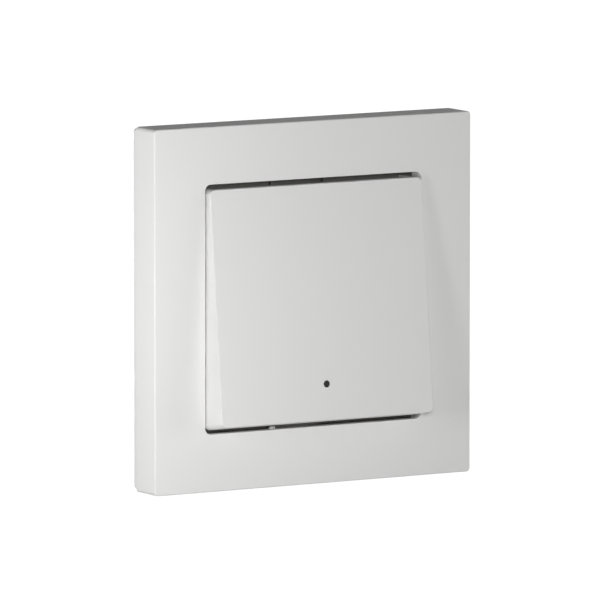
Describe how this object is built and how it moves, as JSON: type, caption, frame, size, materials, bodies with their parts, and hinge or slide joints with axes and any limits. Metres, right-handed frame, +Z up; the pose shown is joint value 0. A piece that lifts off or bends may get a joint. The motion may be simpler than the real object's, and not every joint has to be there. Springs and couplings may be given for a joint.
{
  "type": "smart light switch",
  "caption": "Square flush smart light switch: slim cover frame, sprung tilting rocker with an indicator window, steel bracket with claws, and an electronic module with screw terminals.",
  "frame": {"origin": "centre of the wall plane, on the back of the bracket, midway between the wall screw slots", "axes": "+Y into the wall, +Z up, +X to the right as seen from the room"},
  "size_m": [0.085, 0.0423, 0.085],
  "materials": {
    "white_plastic": "moulded semi-gloss white plastic",
    "smoked_lens": "smoked clear plastic",
    "grey_plastic": "moulded grey plastic",
    "spring_steel": "drawn stainless wire",
    "light_plastic": "moulded natural plastic",
    "black_plastic": "moulded black plastic",
    "clear_plastic": "polished clear plastic",
    "zinc_steel": "zinc-plated pressed steel",
    "zinc_screw": "zinc-plated turned steel",
    "dark_plastic": "fine-textured dark plastic",
    "board_laminate": "green lacquered glass laminate",
    "radio_laminate": "black lacquered glass laminate",
    "tinned_steel": "tinned drawn sheet",
    "relay_plastic": "moulded blue plastic",
    "ferrite": "pressed and fired ferrite",
    "winding_tape": "polyester tape over copper",
    "capacitor_sleeve": "shrunk sleeve over a can",
    "film_box": "moulded box",
    "varistor_coat": "dipped resin coat",
    "resistor_coat": "dipped flameproof coat",
    "brass": "stamped and folded brass"
  },
  "bodies": {
    "module": {"board_header": "black_plastic", "bulk_capacitor": "capacitor_sleeve", "control_board": "board_laminate", "cover_frame": "white_plastic", "film_capacitor": "film_box", "fuse_resistor": "resistor_coat", "housing_screws": "zinc_screw", "indicator_led": "light_plastic", "light_pipe": "clear_plastic", "mounting_bracket": "zinc_steel", "power_board": "board_laminate", "radio_board": "radio_laminate", "radio_shield": "tinned_steel", "rear_housing": "dark_plastic", "relay": "relay_plastic", "return_spring_left": "spring_steel", "return_spring_right": "spring_steel", "rocker_carrier": "grey_plastic", "switch_body": "black_plastic", "terminal_cages": "brass", "transformer_core": "ferrite", "transformer_winding": "winding_tape", "varistor": "varistor_coat"},
    "rocker": {"rocker": "white_plastic", "indicator_lens": "smoked_lens"},
    "push_rod": {"push_rod": "light_plastic", "switch_stem": "black_plastic"},
    "right_claw": {"right_claw": "zinc_steel", "right_claw_screw": "zinc_screw"},
    "left_claw": {"left_claw": "zinc_steel", "left_claw_screw": "zinc_screw"},
    "terminal_screw_1": {"terminal_screw_1": "zinc_screw"},
    "terminal_screw_2": {"terminal_screw_2": "zinc_screw"},
    "terminal_screw_3": {"terminal_screw_3": "zinc_screw"},
    "terminal_screw_4": {"terminal_screw_4": "zinc_screw"}
  },
  "joints": [
    {"name": "rocker_press", "type": "hinge", "parent": "module", "child": "rocker", "pos_m": [0, -0.009, 0], "axis": [1, 0, 0], "range_deg": [0, 5.83], "stiffness_Nm_per_rad": 0.5, "springref_deg": -5.73, "deforming": ["return_spring_left", "return_spring_right"]},
    {"name": "push_rod_travel", "type": "slide", "parent": "module", "child": "push_rod", "axis": [0, 1, 0], "range_m": [0, 0.0012]},
    {"name": "right_claw_spread", "type": "hinge", "parent": "module", "child": "right_claw", "pos_m": [0.0222, 0.0035, -0.009], "axis": [0, 0, -1], "range_deg": [0, 20]},
    {"name": "left_claw_spread", "type": "hinge", "parent": "module", "child": "left_claw", "pos_m": [-0.0222, 0.0035, 0.009], "axis": [0, 0, 1], "range_deg": [0, 20]},
    {"name": "terminal_1_clamp", "type": "slide", "parent": "module", "child": "terminal_screw_1", "axis": [0, 0, 1], "range_m": [0, 0.0022]},
    {"name": "terminal_2_clamp", "type": "slide", "parent": "module", "child": "terminal_screw_2", "axis": [0, 0, 1], "range_m": [0, 0.0022]},
    {"name": "terminal_3_clamp", "type": "slide", "parent": "module", "child": "terminal_screw_3", "axis": [0, 0, 1], "range_m": [0, 0.0022]},
    {"name": "terminal_4_clamp", "type": "slide", "parent": "module", "child": "terminal_screw_4", "axis": [0, 0, 1], "range_m": [0, 0.0022]}
  ],
  "couplings": [
    {"joint": "push_rod_travel", "follows": "rocker_press", "m_per_rad": 0.011}
  ]
}
